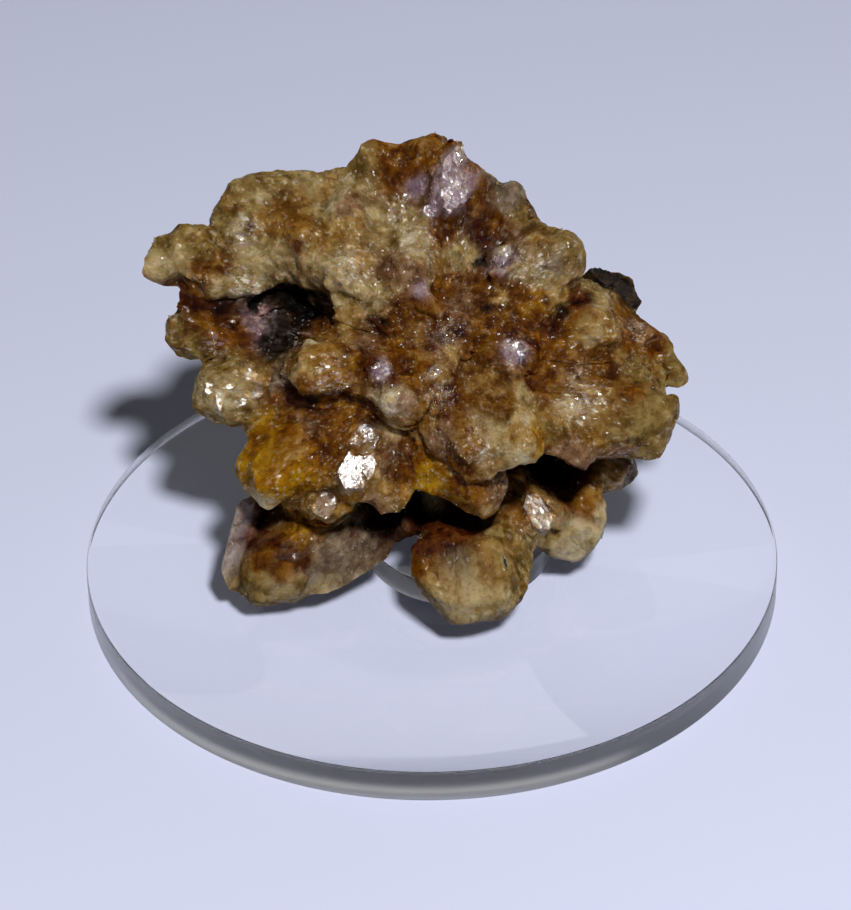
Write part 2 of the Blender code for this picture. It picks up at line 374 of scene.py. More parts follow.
def settled(obj):
    """The evaluated mesh of an object, with every modifier in it."""
    depsgraph = bpy.context.evaluated_depsgraph_get()
    mesh = bpy.data.meshes.new_from_object(obj.evaluated_get(depsgraph))
    obj.modifiers.clear()
    return mesh


def one_skin(obj, voxel):
    """Fuses everything in a mesh into one closed skin."""
    remesh = obj.modifiers.new("skin", "REMESH")
    remesh.mode = "VOXEL"
    remesh.voxel_size = voxel
    obj.data = settled(obj)


bm = bmesh.new()
bm.from_mesh(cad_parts["citrine_cluster"].data)
bmesh.ops.remove_doubles(bm, verts=bm.verts, dist=SAME_POINT)
body = shaped("cluster_body", bm)
one_skin(body, ROUGH_VOXEL)
print("rough skin:", len(body.data.vertices), "vertices")

# %% [markdown]
# On the real piece, quartz has grown into most of the gaps between the big crystals, and only a few stay
# open and black. Rays tell how deep each point lies. The deep points move outward until they meet the other
# wall, and a second remesh fuses what has met. The open gaps are named by where the camera sees them, as
# pixels of an 851 by 910 picture, and a ray from the camera finds each on the body.

# %% Grown-in valleys
FOCAL_PIXELS = 4287.09
PICTURE_CENTRE = (425.5, 455)
VIEW_DISTANCE = 0.5
PIXEL_SIZE = VIEW_DISTANCE / FOCAL_PIXELS
LIFT = 0.05 * MM
VALLEY_RAYS = 16
VALLEY_REACH = 8 * MM
VALLEY_START = 0.30
VALLEY_FULL = 0.62
MOST_FILL = 2.6 * MM
OPEN_GAPS = (
    # pixel, reach in pixels
    ((285, 318), 34), ((300, 300), 24), ((268, 300), 20), ((402, 512), 26), ((395, 535), 18),
    ((545, 472), 20), ((376, 326), 8), ((575, 308), 9), ((430, 500), 12), ((340, 520), 16),
)


def hemisphere(count):
    """Directions spread over the half space above Z, more of them near Z, as a matt surface sees light."""
    golden = math.pi * (3 - math.sqrt(5))
    ring = (np.arange(count) + 0.5) / count
    radius = np.sqrt(ring)
    angle = golden * np.arange(count)
    return np.stack([radius * np.cos(angle), radius * np.sin(angle), np.sqrt(1 - ring)], 1)


def cast_over(tree, points, normals, count, reach):
    """How much stands near each point on its normal's side, and the mean distance to it, along rays."""
    side = unit(np.cross(normals, np.where(np.abs(normals[:, :1]) < 0.7, (1, 0, 0), (0, 1, 0))))
    other = np.cross(normals, side)
    starts = points + normals * LIFT
    nearness = np.zeros(len(points))
    total = np.zeros(len(points))
    for x, y, z in hemisphere(count):
        ways = side * x + other * y + normals * z
        for i, (start, way) in enumerate(zip(starts, ways)):
            distance = tree.ray_cast(start, way, reach)[3]
            if distance is None:
                total[i] += reach
            else:
                total[i] += distance
                nearness[i] += 1 - (distance / reach) ** 2
    return nearness / count, total / count


def seen_at(tree, pixel):
    """The point of a surface that the camera sees at a pixel, or the nearest one where it sees none."""
    x = (pixel[0] - PICTURE_CENTRE[0]) / FOCAL_PIXELS
    y = (PICTURE_CENTRE[1] - pixel[1]) / FOCAL_PIXELS
    way = Vector(CAMERA_RIGHT) * x + Vector(CAMERA_UP) * y - Vector(CAMERA_BACK)
    place = tree.ray_cast(CAMERA_PLACE, way.normalized())[0]
    if place is None:
        place = tree.find_nearest(CAMERA_PLACE + way * VIEW_DISTANCE)[0]
    return np.array(place)


def reaches_from(points, place, reach):
    """How far each point lies from a place, in reaches of so many pixels."""
    return np.linalg.norm(points - place, axis=1) / (reach * PIXEL_SIZE)


points = coordinates(body.data)
normals = vertex_normals(body.data)
rough_tree = surface_tree(body.data)
depth, _ = cast_over(rough_tree, points, normals, VALLEY_RAYS, VALLEY_REACH)
depth = smoothed(body.data, depth, rounds=5)
ahead = np.full(len(points), 2 * MOST_FILL)
for i, (start, way) in enumerate(zip(points + normals * LIFT, normals)):
    distance = rough_tree.ray_cast(start, way, 2 * MOST_FILL)[3]
    if distance is not None:
        ahead[i] = distance
ahead = smoothed(body.data, ahead, rounds=3)
share = np.clip((depth - VALLEY_START) / (VALLEY_FULL - VALLEY_START), 0, 1)
fill = np.minimum(ahead / 2 + ROUGH_VOXEL, MOST_FILL) * share
for pixel, reach in OPEN_GAPS:
    fill *= 1 - np.exp(-(reaches_from(points, seen_at(rough_tree, pixel), reach) ** 4))
fill = smoothed(body.data, fill, rounds=4)
move_points(body.data, points + unit(smoothed(body.data, normals, rounds=6)) * fill[:, None])
one_skin(body, SKIN_VOXEL)
print("valleys filled by up to", round(fill.max() / MM, 2), "mm")

# %% [markdown]
# A few crystals lean a little further on the real piece than in the solid. Each is pushed as a whole, like a
# lump of soft clay, by a few pixels of the picture, and the push fades out with distance.

# %% Pushes
PUSHES = (
    # pixel, reach in pixels, push to the right, down and toward the camera in pixels
    ((440, 552), 30, (-18, -12, 0)),
    ((432, 560), 16, (-12, 2, 0)),
    ((500, 545), 24, (0, -10, 0)),
    ((520, 595), 20, (-11, 0, 0)),
    ((192, 306), 12, (-14, -2, 0)),
    ((182, 322), 12, (-12, 0, 0)),
    ((182, 338), 13, (-7, 0, 0)),
    ((243, 535), 22, (-10, 0, 0)),
    ((232, 582), 16, (9, 0, 0)),
    ((208, 400), 20, (6, -5, 0)),
    ((158, 265), 15, (-13, 1, 0)),
    ((166, 246), 11, (-8, -6, 0)),
    ((258, 187), 20, (-2, -12, 0)),
    ((224, 202), 12, (-9, -4, 0)),
    ((320, 192), 16, (0, -10, 0)),
    ((455, 152), 13, (4, -16, 0)),
    ((487, 180), 12, (0, -14, 0)),
    ((506, 190), 13, (2, -5, 0)),
    ((432, 485), 10, (0, 9, 0)),
    ((618, 285), 18, (11, 0, 0)),
    ((660, 338), 10, (7, -4, 0)),
    ((588, 492), 24, (4, -6, 24)),
    ((622, 480), 18, (0, -4, 18)),
)


def push(mesh, pushes):
    """Moves the points of a mesh around each pixel by so many pixels of the picture."""
    points = coordinates(mesh)
    tree = surface_tree(mesh)
    total = np.zeros_like(points)
    for pixel, reach, (across, down, near) in pushes:
        way = np.array(CAMERA_RIGHT) * across - np.array(CAMERA_UP) * down + np.array(CAMERA_BACK) * near
        share = np.exp(-(reaches_from(points, seen_at(tree, pixel), reach) ** 2))
        total += share[:, None] * way * PIXEL_SIZE
    move_points(mesh, points + total)


push(body.data, PUSHES)
SKIN_AREA = float(read_values(body.data.polygons, "area").sum())
print("body skin:", len(body.data.vertices), "vertices,", round(SKIN_AREA / MM**2), "square mm")

# %% [markdown]
# Quartz ends in flat faces with edges between them, and this piece is worn but still angular. The skin is
# first given a little spare. Planes are then laid over it, one at each of many seats strewn over it, and
# whatever stands above a plane near its seat is cut down to it. Where two planes meet, an edge is left. Large
# planes come first and small ones after them.

# %% Cut faces
SPARE = 0.2 * MM
CUTS = (
    # spacing of the seats, reach of each plane, size of the patch that sets its height
    (4.6 * MM, 4.8 * MM, 2.7 * MM),
    (2.6 * MM, 2.2 * MM, 1.1 * MM),
)
CUT_FADE = 0.2
MOST_CUT = 1.0 * MM
CORE_FACING = 0.5
CUT_FACING = 0.3
FACING_FADE = 0.2


def cut_faces(mesh, spacing, reach, patch, seed):
    """Cuts a mesh with a plane at each of many seats and returns how far each point came down."""
    chance = np.random.default_rng(seed)
    points = coordinates(mesh)
    start = points.copy()
    normals = unit(smoothed(mesh, vertex_normals(mesh), rounds=3))
    seats = points[chance.choice(len(points), int(SKIN_AREA / spacing**2), replace=False)]
    for seat in seats:
        away = np.linalg.norm(start - seat, axis=1)
        near = np.flatnonzero(away < reach)
        core = near[away[near] < patch]
        way = unit(normals[core].mean(0))
        core = core[normals[core] @ way > CORE_FACING]
        height = (points[near] - start[core].mean(0)) @ way
        share = np.clip((1 - away[near] / reach) / CUT_FADE, 0, 1) * np.clip(2 - height / MOST_CUT, 0, 1)
        share *= np.clip((normals[near] @ way - CUT_FACING) / FACING_FADE, 0, 1)
        points[near] -= way * (np.maximum(height, 0) * share)[:, None]
    move_points(mesh, points)
    return np.linalg.norm(points - start, axis=1)


move_points(body.data, coordinates(body.data) + unit(vertex_normals(body.data)) * SPARE)
for seed, (spacing, reach, patch) in enumerate(CUTS):
    cut = cut_faces(body.data, spacing, reach, patch, seed)
    print("cut down by up to", round(cut.max() / MM, 2), "mm, on average", round(cut.mean() / MM, 2), "mm")

# %% [markdown]
# Each big crystal is itself a bundle of blunt smaller ones that grew side by side, away from the heart of the
# cluster. Seats are strewn over the skin. Every seat is a low six-faced point, stretched along the way it
# grew, and each point of the skin rises to the highest crystal near it. So the crystals stay crisp, with
# sharp valleys between them. Two sizes are laid over each other, and a little noise wears them. The narrowest
# slits are then drawn up to the level around them.

# %% Growth relief
GROWTHS = (
    # spacing, length against width, spread of heights, slope of the faces, seed
    (3.0 * MM, 1.7, 0.26 * MM, 0.16, 3),
    (1.3 * MM, 1.6, 0.13 * MM, 0.24, 4),
)
NEAREST = 6
FACES = 6
STEEPEST = 1.4
SHALLOWEST = 0.6
LEAST_FACING = 0.1
LOWEST_PERCENT = 1
NOISE_GAIN = 1.6
WEAR = (
    # size of the pattern, depth
    (5.0 * MM, 0.15 * MM),
    (0.8 * MM, 0.05 * MM),
)
CALM = (
    # pixel and reach of a smoother crystal
    ((465, 570), 55), ((290, 560), 60), ((272, 450), 30), ((570, 535), 32), ((640, 405), 34),
    ((480, 410), 38),
)
CALM_SHARE = 0.6
SLIT_SPREAD = 10
SLIT_DEPTH = 0.2 * MM
SLIT_ROUNDS = 3


def gathered(points, tree, places):
    """How near each point is to the given places in the picture, from none to one."""
    nearness = np.zeros(len(points))
    for pixel, reach in places:
        nearness = np.maximum(nearness, np.exp(-(reaches_from(points, seen_at(tree, pixel), reach) ** 4)))
    return nearness


def noise_over(points, size):
    """Smooth noise in a pattern of the given size."""
    return np.array([noise.noise(p) for p in points / size])


def growth(points, normals, spacing, length, spread, slope, seed):
    """The height, at each point, of the highest of the nearest crystals."""
    chance = np.random.default_rng(seed)
    count = int(SKIN_AREA / spacing**2)
    picked = chance.choice(len(points), count, replace=False)
    seats = points[picked]
    up = normals[picked]
    outward = seats - np.array(HEART)
    along = unit(outward - up * dot(outward, up)[:, None])
    across = np.cross(up, along)
    top = chance.uniform(-0.5, 0.5, count) * spread
    turn = chance.uniform(0, math.tau, count)
    steep = chance.uniform(SHALLOWEST, STEEPEST, (count, FACES)) * slope
    tree = KDTree(count)
    for i, seat in enumerate(seats):
        tree.insert(seat, i)
    tree.balance()
    near = np.array([[found[1] for found in tree.find_n(p, NEAREST)] for p in points])
    highest = np.full(len(points), -np.inf)
    for i in near.T:
        away = points - seats[i]
        u = dot(away, along[i]) / length
        v = dot(away, across[i])
        fall = np.full(len(points), -np.inf)
        for side in range(FACES):
            angle = turn[i] + math.tau * side / FACES
            fall = np.maximum(fall, steep[i, side] * (u * np.cos(angle) + v * np.sin(angle)))
        height = top[i] - fall
        height[dot(normals, up[i]) < LEAST_FACING] = -spread
        highest = np.maximum(highest, height)
    return highest


def heal_slits(mesh):
    """Draws the floor of every narrow slit up to the level of the skin around it."""
    for _ in range(SLIT_ROUNDS):
        points = coordinates(mesh)
        level = smoothed(mesh, points, SLIT_SPREAD)
        hollow = -dot(vertex_normals(mesh), points - level)
        share = np.clip((hollow - SLIT_DEPTH) / SLIT_DEPTH, 0, 1)[:, None]
        move_points(mesh, points + (level - points) * share)


points = coordinates(body.data)
normals = unit(smoothed(body.data, vertex_normals(body.data), rounds=4))
moved = np.zeros(len(points))
for spacing, length, spread, slope, seed in GROWTHS:
    rise = growth(points, normals, spacing, length, spread, slope, seed)
    rise = np.maximum(rise, np.percentile(rise, LOWEST_PERCENT))
    moved += rise - rise.mean()
moved *= 1 - CALM_SHARE * gathered(points, surface_tree(body.data), CALM)
for size, strength in WEAR:
    moved += noise_over(points, size) * NOISE_GAIN * strength
move_points(body.data, points + normals * moved[:, None])
heal_slits(body.data)
print("relief:", round(moved.min() / MM, 2), "to", round(moved.max() / MM, 2), "mm")

# %% [markdown]
# Some crystals end in a large flat face that catches the lamp. A face mirrors the lamp when it looks halfway
# between the lamp and the camera, so each one starts from that direction and is tipped a little from it. The
# skin inside a six-sided outline is pressed onto the face's plane. Softer faces, which only flatten a worn
# crystal, follow the skin's own direction. The flat skin then needs far fewer triangles, so it is thinned.

# %% Flat faces
MIRROR_WAY = np.array((LAMP_DIRECTION + Vector(CAMERA_BACK)).normalized())
FLAT_FACES = (
    # pixel, half length and half width in pixels, turn of its length in degrees, tip right and up, gloss
    ((357, 468), 19, 15, 60, (0.0, 0.0), 1.0),
    ((364, 440), 14, 12, 60, (0.14, 0.16), 0.8),
    ((455, 182), 30, 13, 84, (0.07, 0.04), 0.6),
    ((515, 346), 5, 3, 60, (0.02, 0.0), 1.0),
    ((521, 353), 4, 3, 110, (-0.02, 0.03), 0.9),
    ((508, 341), 3, 2, 20, (0.05, 0.0), 0.9),
    ((407, 197), 4, 4, 5, (0.0, 0.0), 1.0),
    ((377, 366), 4, 2, 30, (0.02, 0.02), 0.9),
    ((386, 371), 4, 3, 110, (0.0, -0.03), 0.8),
    ((379, 378), 3, 2, 70, (0.04, 0.0), 0.8),
    ((504, 257), 11, 7, 60, (0.13, -0.07), 0.5),
    ((209, 388), 6, 4, 80, (0.0, 0.02), 0.9),
    ((219, 400), 10, 3, 100, (0.02, 0.0), 0.9),
    ((238, 403), 8, 4, 20, (0.0, 0.0), 0.9),
    ((228, 386), 6, 3, 10, (-0.04, 0.05), 0.8),
    ((257, 390), 8, 6, 60, (-0.10, 0.08), 0.6),
    ((250, 374), 6, 4, 120, (0.06, 0.02), 0.8),
    ((432, 210), 8, 6, 10, (0.0, 0.08), 0.8),
    ((238, 540), 46, 12, 72, (-0.75, -0.10), 0.3),
    ((352, 562), 46, 17, 30, (0.25, -0.45), 0.1),
    ((572, 408), 18, 9, 20, (0.12, 0.10), 0.4),
    ((538, 512), 17, 10, 120, (0.10, 0.05), 0.7),
    ((615, 283), 26, 9, 150, (0.45, 0.45), 0.3),
    ((434, 372), 8, 6, 40, (0.0, 0.08), 0.5),
    ((325, 505), 14, 10, 60, (0.07, -0.05), 0.5),
    ((300, 545), 20, 12, 30, (0.12, -0.20), 0.1),
)
SOFT_FACES = (
    # pixel, half length and half width in pixels, turn of its length in degrees, share of the size that fades
    ((466, 566), 46, 34, 5, 0.45), ((480, 412), 40, 30, 80, 0.3), ((512, 520), 22, 12, 100, 0.4),
    ((545, 247), 28, 17, 170, 0.5), ((595, 325), 24, 14, 150, 0.5),
    ((280, 450), 36, 22, 60, 0.4), ((330, 362), 30, 18, 20, 0.5), ((576, 540), 22, 17, 20, 0.4),
    ((605, 410), 40, 22, 170, 0.6), ((460, 500), 22, 13, 150, 0.4), ((425, 478), 14, 12, 100, 0.4),
    ((385, 150), 26, 14, 165, 0.4), ((290, 215), 26, 16, 10, 0.6),
)
FACE_REACH = 2.5 * MM
FACE_BORDER = 0.12
FACE_SLANT = (0.8, 0.45)
SOFT_FACING = 0.3
MOST_TRIANGLES = 195000
SHARP_EDGE = math.radians(34)


def press_face(points, normals, place, way, length, width, turn, border=FACE_BORDER):
    """Presses one flat face into the points and returns how much each of them belongs to it."""
    angle = math.radians(turn)
    long_way = np.array(CAMERA_RIGHT) * math.cos(angle) + np.array(CAMERA_UP) * math.sin(angle)
    long_way = unit(long_way - way * (long_way @ way))
    wide_way = np.cross(way, long_way)
    away = points - place
    u = away @ long_way / (length * PIXEL_SIZE)
    v = away @ wide_way / (width * PIXEL_SIZE)
    height = away @ way
    outline = np.maximum(np.abs(v), np.abs(u) * FACE_SLANT[0] + np.abs(v) * FACE_SLANT[1])
    share = np.clip((1 + border - outline) / border, 0, 1)
    share *= (np.abs(height) < FACE_REACH) & (normals @ way > LEAST_FACING)
    points -= way * (height * share)[:, None]
    return share


def press_faces(mesh, bright, soft):
    """Presses both kinds of flat face into a mesh and returns each point's gloss."""
    points = coordinates(mesh)
    normals = vertex_normals(mesh)
    tree = surface_tree(mesh)
    gloss = np.zeros(len(points))
    for pixel, length, width, turn, border in soft:
        near = np.linalg.norm(points - seen_at(tree, pixel), axis=1) < width * PIXEL_SIZE
        way = unit(normals[near].mean(0))
        middle = points[near & (normals @ way > SOFT_FACING)].mean(0)
        inner = 1 - border / 2
        press_face(points, normals, middle, way, length * inner, width * inner, turn, border)
    for pixel, length, width, turn, (right, above), shine in bright:
        way = unit(MIRROR_WAY + np.array(CAMERA_RIGHT) * right + np.array(CAMERA_UP) * above)
        share = press_face(points, normals, seen_at(tree, pixel), way, length, width, turn)
        gloss = np.maximum(gloss, share * shine)
    move_points(mesh, points)
    return gloss


def add_values(mesh, name, values):
    """One number at each point, which the materials read by its name."""
    mesh.attributes.new(name, "FLOAT", "POINT").data.foreach_set("value", values.astype(np.float32))


add_values(body.data, "gloss", press_faces(body.data, FLAT_FACES, SOFT_FACES))
heal_slits(body.data)
thinning = body.modifiers.new("fewer faces", "DECIMATE")
thinning.ratio = min(1, MOST_TRIANGLES / (2 * len(body.data.polygons)))
body.data = settled(body)
body.data.shade_smooth()
body.data.set_sharp_from_angle(angle=SHARP_EDGE)
body.data.calc_loop_triangles()
print("thinned to", len(body.data.loop_triangles), "triangles")

# %% [markdown]
# How deep a point lies between its neighbours decides much of its colour: crevices are painted darker and
# redder, a painted shade. Short rays sent out over each point's hemisphere count how much stands in the way.
# Rays sent inward measure how thick the crystal is, for thin edges get a paler painted glow, bulging edges
# are paler too, partly wear and partly painted light, and hollows get painted shade.

# %% Crevices and thickness
OUTWARD_RAYS = 20
OUTWARD_REACH = 9 * MM
INWARD_RAYS = 5
INWARD_REACH = 12 * MM
BULGE_ROUNDS = 30
EDGE_HEIGHT = 0.30 * MM
THIN = 4 * MM

points = coordinates(body.data)
normals = vertex_normals(body.data)
skin_tree = surface_tree(body.data)
# Crevice depth, which sets the painted shade in the colour.
depth, _ = cast_over(skin_tree, points, normals, OUTWARD_RAYS, OUTWARD_REACH)
depth = smoothed(body.data, depth, rounds=3)
_, thickness = cast_over(skin_tree, points, -normals, INWARD_RAYS, INWARD_REACH)
thickness = smoothed(body.data, thickness, rounds=6)
bulge = dot(normals, points - smoothed(body.data, points, BULGE_ROUNDS))
# Edges: a paler painted glow where thin, paler where bulging (partly wear, partly painted light), painted
# shade in hollows.
edge = np.clip(bulge / EDGE_HEIGHT, -1, 1) + np.clip(1 - thickness / THIN, 0, 1)
edge = smoothed(body.data, edge, rounds=2)
print("crevice depth: median", round(float(np.median(depth)), 2), "deepest", round(float(depth.max()), 2))
print("thickness: median", round(float(np.median(thickness)) / MM, 2), "mm")
print("edges: from", round(float(edge.min()), 2), "to", round(float(edge.max()), 2))

# %% [markdown]
# The crystals differ in colour: worn, frosted ends are beige, thin ones are amber, partly with a painted
# glow, and the roots go dark brown. A small palette names the colours, and each visible crystal gets one,
# placed where the camera sees it, as a pixel of an 851 by 910 picture. The dark and black colours are mostly
# painted shade, in gaps, hollows and under overhanging crystals, and a few pale spots are painted light on
# lit tips. Noise warps the borders between colours, but the smallest spots stay sharp. Blender's vector noise
# takes its offsets from the clock unless it is given a seed. What no spot reaches is brown near the heart and
# olive further out. Stains then raise the colour to a power a little above or below one, which deepens or
# pales it.

# %% Finishes and painted shade
PALETTE = {
    "frosted": (0.29, 0.205, 0.085),
    "sand": (0.25, 0.14, 0.033),
    "pale": (0.42, 0.33, 0.175),
    "grey": (0.14, 0.098, 0.06),
    "mist": (0.33, 0.26, 0.23),
    "rose": (0.145, 0.072, 0.03),
    "lilac": (0.22, 0.145, 0.175),
    "violet": (0.18, 0.115, 0.12),
    "olive": (0.15, 0.09, 0.02),
    "honey": (0.175, 0.078, 0.0075),
    "yellow": (0.24, 0.105, 0.0005),
    "amber": (0.13, 0.041, 0.0002),
    "brown": (0.108, 0.034, 0.0003),
    # Dark and black are mostly painted shade.
    "dark_and_painted_shade": (0.043, 0.0065, 0.0002),
    "black_painted_shade": (0.005, 0.002, 0.001),
}
SPOTS = {
    # pixel across, pixel down, reach in pixels
    "frosted": (
        (310, 185, 10), (320, 210, 10), (345, 185, 9), (375, 230, 9), (415, 250, 9), (460, 255, 9),
        (330, 270, 13), (350, 290, 12), (370, 300, 11), (270, 250, 10), (250, 257, 9), (220, 286, 8),
        (250, 275, 9), (150, 265, 8), (175, 265, 9), (545, 275, 9), (530, 270, 8), (600, 300, 8),
        (500, 430, 11), (515, 455, 9), (505, 470, 7), (480, 612, 10), (550, 540, 9), (280, 592, 9),
        (410, 225, 9), (600, 332, 7), (520, 395, 6), (455, 608, 9), (320, 590, 7), (285, 598, 7),
        (330, 200, 10), (210, 395, 8), (227, 393, 8), (238, 404, 7), (215, 411, 6), (256, 386, 7),
        (442, 598, 9), (470, 598, 10), (500, 596, 8),
    ),
    "sand": (
        (325, 238, 10), (345, 222, 8), (508, 548, 9), (550, 420, 9), (595, 325, 8), (385, 485, 8),
        (350, 322, 10), (515, 430, 9), (500, 462, 8), (485, 395, 9), (300, 365, 9), (600, 425, 9),
        (270, 225, 9), (200, 240, 8), (560, 298, 6), (585, 383, 9), (404, 432, 8), (330, 190, 9),
        (360, 265, 9), (570, 410, 9), (620, 400, 9), (230, 200, 8), (425, 150, 7), (440, 262, 8),
        (420, 335, 6), (300, 200, 9), (500, 300, 6), (300, 452, 4), (283, 450, 4), (452, 350, 4),
        (440, 375, 4), (490, 508, 4), (302, 352, 4), (612, 480, 9), (600, 488, 6), (430, 588, 6),
    ),
    # Pale spots are mostly frosted quartz; those on the lower tips of the petal and the finger are painted
    # light.
    "pale": (
        (575, 540, 11), (592, 538, 9), (570, 558, 8), (602, 510, 5), (435, 503, 5), (400, 434, 6),
        (262, 503, 5), (435, 500, 4), (330, 205, 4), (260, 195, 4), (345, 183, 4), (240, 222, 4),
        (375, 215, 4), (404, 240, 4), (500, 250, 4), (535, 275, 3), (560, 402, 4), (520, 460, 4),
        (525, 420, 3), (590, 340, 4), (312, 340, 4), (388, 405, 8), (225, 402, 5), (245, 398, 4),
        (254, 499, 5), (432, 497, 4),
    ),
    "grey": (
        (340, 560, 12), (360, 540, 10), (310, 582, 10), (505, 190, 9), (515, 200, 8), (275, 385, 8),
        (550, 255, 9), (632, 478, 9),
    ),
    "mist": (
        (240, 515, 8), (235, 535, 8), (228, 555, 6),
    ),
    "rose": (
        (390, 260, 9), (410, 272, 9), (310, 425, 8), (375, 502, 7), (440, 340, 10), (460, 300, 9),
        (450, 430, 10), (440, 442, 9), (580, 372, 9), (635, 330, 7), (570, 455, 9), (590, 460, 9),
        (620, 452, 9), (405, 405, 7), (498, 498, 8), (345, 205, 8), (395, 455, 7), (360, 340, 6),
        (388, 470, 6), (578, 402, 6), (510, 235, 7), (425, 200, 6),
    ),
    "lilac": (
        (455, 172, 9), (455, 192, 10), (450, 212, 8), (432, 208, 5), (500, 258, 7), (516, 349, 5),
        (418, 187, 6), (381, 371, 4),
    ),
    "violet": ((262, 312, 8), (255, 330, 8), (420, 290, 4)),
    "olive": (
        (235, 190, 10), (260, 180, 11), (360, 155, 9), (290, 175, 9), (250, 205, 9), (215, 215, 8),
        (200, 245, 12), (180, 235, 9), (165, 245, 8), (200, 350, 9), (225, 365, 9),
        (525, 215, 8), (560, 240, 8), (575, 255, 8), (640, 365, 10), (660, 372, 9),
        (680, 377, 8), (550, 430, 9), (610, 430, 13), (640, 430, 12), (660, 415, 9), (500, 530, 10),
        (490, 560, 11), (515, 560, 9), (255, 585, 10), (395, 240, 7), (590, 285, 8), (650, 400, 9),
        (305, 360, 6), (172, 322, 6), (208, 412, 8), (240, 412, 8), (262, 585, 9), (300, 585, 7),
        (435, 584, 6), (512, 545, 8), (351, 168, 9),
    ),
    "honey": (
        (270, 220, 11), (290, 215, 12), (200, 285, 9), (320, 355, 12), (480, 420, 13), (580, 335, 9),
        (610, 340, 10), (345, 500, 9), (620, 312, 9), (540, 248, 8), (500, 400, 9), (470, 440, 9),
        (655, 372, 8), (600, 440, 8), (262, 385, 8), (590, 352, 8), (560, 388, 9), (432, 410, 11),
        (300, 230, 8), (590, 495, 9), (330, 330, 8), (460, 577, 7), (345, 402, 7), (330, 385, 7),
        (490, 560, 8), (491, 573, 7), (465, 574, 5),
    ),
    "yellow": (
        (270, 430, 11), (255, 452, 11), (260, 475, 11), (285, 482, 11), (285, 460, 9), (425, 468, 10),
        (430, 490, 9), (540, 300, 9), (540, 440, 8), (300, 537, 10), (300, 465, 9), (245, 465, 7),
    ),
    "amber": (
        (430, 160, 8), (400, 165, 12), (222, 335, 11), (240, 337, 9), (330, 412, 10), (350, 400, 9),
        (290, 430, 12), (320, 450, 11), (400, 350, 10), (440, 290, 11), (530, 322, 10), (630, 345, 8),
        (650, 350, 8), (545, 380, 9), (630, 390, 10), (410, 470, 9), (410, 445, 9), (455, 500, 9),
        (470, 492, 10), (590, 500, 10), (300, 388, 8), (255, 568, 6), (520, 300, 8), (540, 340, 8),
        (560, 347, 7), (256, 573, 6), (285, 573, 6), (438, 574, 7), (464, 570, 7), (330, 370, 9),
        (515, 522, 8), (545, 392, 7), (345, 395, 7), (275, 395, 5), (418, 576, 7), (290, 447, 5),
        (262, 465, 4),
    ),
    "brown": (
        (425, 142, 12), (385, 147, 12), (445, 225, 9), (475, 195, 9), (500, 225, 8), (440, 238, 8),
        (200, 270, 9), (215, 265, 9), (205, 325, 9), (320, 330, 10), (330, 398, 10), (310, 405, 9),
        (360, 360, 10), (415, 375, 10), (430, 320, 10), (400, 315, 12), (490, 330, 9), (480, 290, 10),
        (570, 320, 9), (560, 360, 10), (600, 372, 10), (575, 500, 9), (460, 457, 8), (262, 558, 8),
        (530, 305, 8), (505, 318, 9), (472, 345, 7), (642, 350, 7), (452, 396, 8), (575, 480, 7),
        (590, 476, 7), (440, 564, 7), (465, 562, 6), (487, 548, 6), (440, 238, 5), (467, 160, 7),
        (648, 326, 7), (416, 564, 6), (560, 492, 8), (263, 440, 4), (278, 470, 4), (252, 478, 4),
    ),
    # Dark spots are mostly painted shade, on crystal tops under overhangs and in hollows, with a few darker
    # crystals.
    "dark_and_painted_shade": (
        (478, 235, 9), (300, 240, 7), (185, 297, 9), (200, 305, 9), (290, 400, 9), (380, 325, 7),
        (500, 310, 8), (550, 320, 8), (580, 300, 7), (385, 535, 9), (420, 530, 9), (445, 530, 11),
        (468, 534, 8), (260, 522, 8), (252, 538, 6), (275, 545, 7), (520, 330, 6), (573, 303, 6),
        (588, 298, 5), (440, 522, 9), (410, 522, 8), (262, 512, 7), (225, 310, 8), (305, 528, 6),
        (355, 535, 6), (262, 560, 9), (287, 560, 9), (306, 560, 6), (440, 550, 9), (465, 550, 8),
        (500, 262, 4), (462, 332, 4), (350, 352, 4), (430, 345, 4), (545, 300, 4), (612, 372, 4),
        (415, 300, 4), (250, 225, 3), (480, 435, 4), (445, 415, 4), (529, 207, 7),
        (418, 550, 8), (371, 362, 4), (393, 379, 4),
    ),
    # Black spots are painted shade in gaps and cavities.
    "black_painted_shade": (
        (250, 302, 9), (285, 330, 14), (300, 310, 14), (270, 345, 8), (605, 275, 9), (625, 288, 10),
        (545, 468, 10), (400, 512, 16), (640, 300, 5), (489, 309, 4), (562, 309, 5),
        (478, 262, 3), (384, 322, 4), (312, 405, 4), (225, 308, 6), (585, 470, 7), (300, 241, 3),
        (310, 403, 4), (562, 472, 9),
    ),
}
MOTTLE = (
    # size of the stains, how much they pale or deepen the colour
    (1.9 * MM, 0.25),
    (0.8 * MM, 0.3),
)
SPARKLES = (
    # pixel and reach of the places that glitter
    ((422, 238), 22), ((585, 397), 26), ((381, 371), 10), ((516, 348), 9), ((446, 332), 18),
    ((515, 345), 14), ((350, 265), 22), ((245, 232), 16), ((245, 285), 16), ((400, 215), 14),
    ((480, 450), 18), ((455, 190), 16), ((530, 265), 18), ((300, 340), 14), ((215, 345), 12),
    ((390, 405), 12), ((540, 520), 16), ((640, 330), 14), ((440, 400), 20), ((330, 385), 20),
)
CALM_DULLING = 0.5
REST_WEIGHT = 0.002
REST_BROWN = 10
REST_FADE = 16
SMALL_SPOT = 5
SMALL_STRENGTH = 2
WARP_SEED = 1
WARPS = (
    # size of the pattern, how far it shifts a finish's edge
    (2.2 * MM, 0.9 * MM),
    (0.7 * MM, 0.5 * MM),
)

